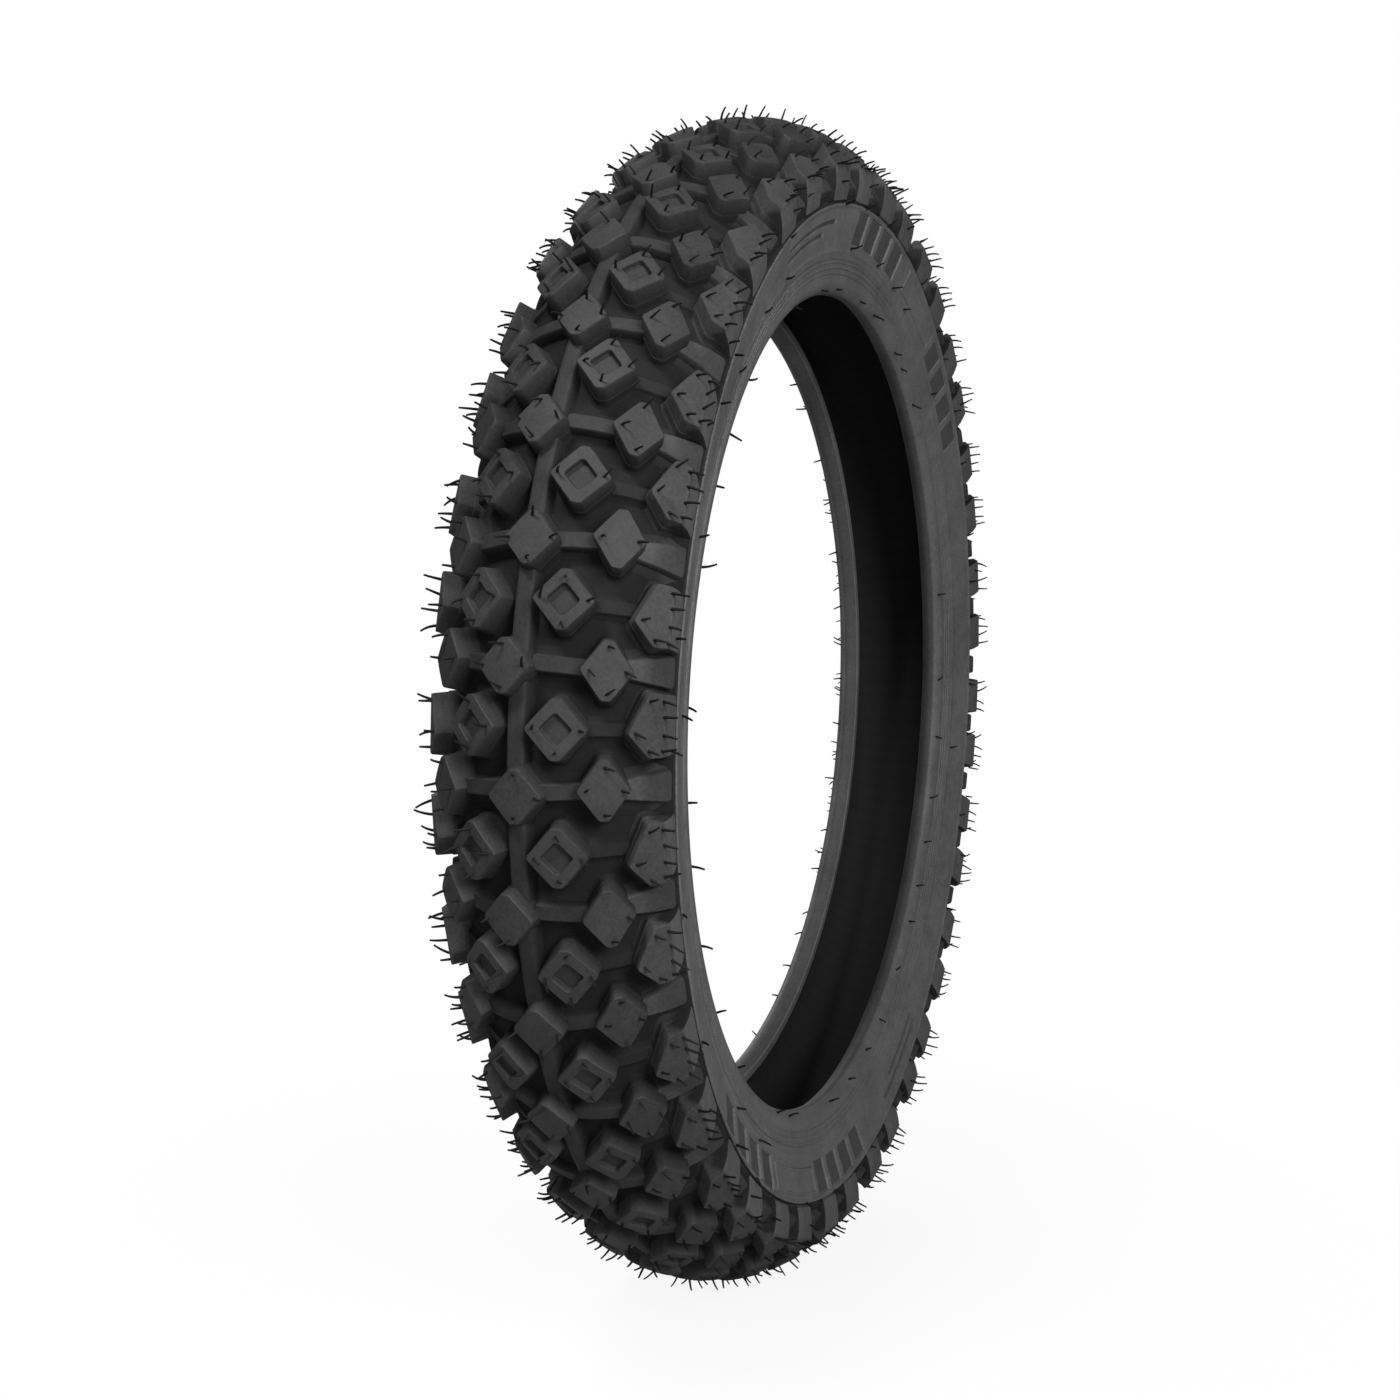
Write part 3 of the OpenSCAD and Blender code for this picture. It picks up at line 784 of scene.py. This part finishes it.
def land_painted_shade(x, y, z):
    """Painted shade on a land: shaded low down as the bars inside, and painted part dark out
    between the edge knobs.
    """
    outer_side, outer_shade = 0.043, 0.4
    outer = held((x.maths("ABSOLUTE", y) - outer_side) / 0.003)
    return land_groove_shade(x, y, z) * (1 - outer) + outer * outer_shade


# Painted shade on the land, low down and out between the edge knobs.
land_finish = rubber("land_rubber", dark=0.028, light=0.08, rough=0.62, grain=0.4,
                     painted_shade=land_painted_shade)
placed(row, land_finish, "tread", "shoulder_lands_right")
left_copy(row, "shoulder_land_row_left", pitch, "shoulder_lands_left")


# Vent hairs. Thin whiskers of rubber left where air escaped from the mould, near the
# corners of every knob, along the ridge and round the bead of each side.
luck = random.Random(11)
strands = bpy.data.curves.new("vent_hairs", "CURVE")
strands.dimensions = "3D"
strands.bevel_depth = 0.00064
strands.bevel_resolution = 0
strands.use_fill_caps = True


def hair(root, normal, low, high):
    """One bent whisker on the rubber at its root, combed outwards as the mould opened."""
    bits, taper, root_depth = 5, 0.07, 0.0004
    sideways = 0.5
    up = normal.normalized()
    comb = Vector((root.x, math.copysign(sideways, root.y), root.z))
    side = (comb - up * comb.dot(up)).normalized()
    side.rotate(Matrix.Rotation(luck.uniform(-1.0, 1.0), 3, up))
    length = luck.uniform(low, high) / 1000
    tilt = luck.uniform(0.15, 0.6)
    curl = luck.uniform(0.0, 0.8)
    strand = strands.splines.new("POLY")
    strand.points.add(bits)
    spot = root - up * root_depth
    for i, point in enumerate(strand.points):
        point.co = (*spot, 1)
        point.radius = 1 - taper * i
        lean = tilt + curl * i / bits
        spot = spot + (up * math.cos(lean) + side * math.sin(lean)) * length / bits


def crown_spot(across, turn):
    """A place on the crown and the way up from it, in metres."""
    lean = across / crown_radius
    spin = math.radians(turn)
    out = Vector((math.cos(spin), 0, math.sin(spin)))
    up = out * math.cos(lean) + Vector((0, math.sin(lean), 0))
    return (out * crown_centre + up * crown_radius) / 1000, up


round_mm = math.degrees(1 / wheel_radius)
corner_spots = {"centre": ((0, 8.4), (0, -8.4), (8.6, 0), (-8.6, 0)),
                "pocket": ((0, 9.0), (0, -9.0), (9.2, 0), (-9.2, 0)),
                "shoulder": ((0, 9.6), (0, -9.6), (7.0, 0), (-7.0, 0)),
                "edge": ((6.4, 10.6), (6.4, -10.6), (6.9, 3.8), (6.9, -3.8), (0.6, 10.2),
                         (0.6, -10.2), (-5.2, -2.8))}
rim_chance, knob_chance = 0.96, 0.86
rim_length, knob_length, wall_length = (5.8, 8.8), (4.0, 7.0), (4.0, 7.5)
for i in range(knob_count):
    turn = first_turn + pitch * i
    even = 1 if i % 2 == 0 else -1
    knobs = [("centre", centre_across[i % 2], turn - centre_back)]
    for s in (1, -1):
        knobs += [("pocket", s * pocket_across, turn + pitch / 2),
                  ("shoulder", s * shoulder_across, turn - s * even * shoulder_step),
                  ("edge", s * edge_across, turn + pitch / 2 - s * even * edge_step)]
    for kind, across, middle in knobs:
        for dx, dy in corner_spots[kind]:
            at_rim = kind == "edge" and dx > 6
            if luck.random() < (rim_chance if at_rim else knob_chance):
                outward = -dx if across < 0 else dx
                spot, up = crown_spot(across + outward, middle + dy * round_mm)
                hair(spot, up, *(rim_length if at_rim else knob_length))
ridge, below_knobs, wall_foot, bead = ((273.0, 50.3, 0.0, 0.55), (284, 51.6, 0.75, 0.4),
                                       (252.5, 43.2, -0.35, 0.35), (231.3, 36.6, -1.2, 0.8))
for s in (1, -1):
    for i in range(knob_count):
        for radius, sideways, lean, chance in (ridge, below_knobs, wall_foot, bead):
            if luck.random() < chance:
                spin = math.radians(first_turn + pitch * (i + luck.uniform(0.2, 0.8)))
                out = Vector((math.cos(spin), 0, math.sin(spin)))
                root = (out * radius + Vector((0, s * sideways, 0))) / 1000
                hair(root, out * lean + Vector((0, s, 0)), *wall_length)
hairs = bpy.data.objects.new("vent_hairs", strands)
bpy.context.scene.collection.objects.link(hairs)
only(hairs)
bpy.ops.object.convert(target="MESH")
hairs = bpy.context.object
hair_finish = rubber("hair_rubber", dark=0.002, light=0.006, rough=0.75, grain=0.1)
placed(hairs, hair_finish, "tread", smooth=60)


# Studio. A pale floor that fades to white, soft lights from the right, from above in
# front and from behind, a weak one by the camera, and the camera where the photograph
# was taken from.
bpy.ops.object.select_all(action="DESELECT")
floor_level = -0.3202
bpy.ops.mesh.primitive_plane_add(size=14, location=(0, 0, floor_level))
floor = bpy.context.object
floor.name = "studio_floor"
floor_finish, shader, place = new_finish("floor_white", {"Roughness": 0.9,
                                                         "Specular IOR Level": 0.1})
x, y, _ = place.axes()
seen = place.node("LightPath", out="Is Camera Ray")
glow_below, glow_fade = 0.88, 0.24
glow = place.maths("MINIMUM", glow_below + distance(x, y) * glow_fade, 1.0) * seen
join(shader, "Base Color", tinted(seen, (0.4, 0.4, 0.4), (0.95, 0.95, 0.95)))
white = place.node("Emission", None, {"Color": (1, 1, 1, 1), "Strength": 1.0})
lit = Shade(place.tree, shader.outputs[0])
mixed = place.node("MixShader", None, {0: glow, 1: lit, 2: white})
place.tree.links.new(mixed.socket, place.tree.nodes["Material Output"].inputs["Surface"])
floor.data.materials.append(floor_finish)
floor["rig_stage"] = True

world = bpy.data.worlds.new("studio")
bpy.context.scene.world = world
world.use_nodes = True
sky = world.node_tree.nodes["Background"]
sky.inputs["Color"].default_value = (1, 1, 1, 1)
rays = Shade(world.node_tree).node("LightPath", out="Is Camera Ray")
room_light = 0.08
join(sky, "Strength", room_light + rays * (1 - room_light))


def softbox(name, spot, size, power):
    """A square soft light that faces the middle of the wheel."""
    bpy.ops.object.light_add(type="AREA", location=spot)
    lamp = bpy.context.object
    lamp.name = name
    lamp.data.shape = "SQUARE"
    lamp.data.size = size
    lamp.data.energy = power
    lamp.rotation_euler = Vector(spot).to_track_quat("Z", "Y").to_euler()


softbox("key_light", (0.85, 0.85, 0.4), size=0.5, power=12)
softbox("camera_light", (1.7, 0.5, -0.1), size=1.0, power=3)
softbox("top_light", (1.25, -0.2, 1.35), size=0.35, power=22)
softbox("back_light", (-1.5, -1.0, 0.8), size=1.0, power=16)

camera_spot = (0.7915, 0.2752, 0.0177)
forward = Vector((-0.9230, -0.3842, -0.0222)).normalized()
right = Vector((-0.3848, 0.9222, 0.0395)).normalized()
up = right.cross(forward)
aim = Matrix((right, up, -forward)).transposed().to_4x4()
camera = bpy.data.objects.new("camera", bpy.data.cameras.new("camera"))
bpy.context.scene.collection.objects.link(camera)
camera.data.lens = 36.59
camera.data.sensor_width = 36
camera.data.clip_start = 0.01
camera.matrix_world = Matrix.Translation(camera_spot) @ aim
bpy.context.scene.camera = camera
bpy.context.scene.view_settings.view_transform = "Standard"

low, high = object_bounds()
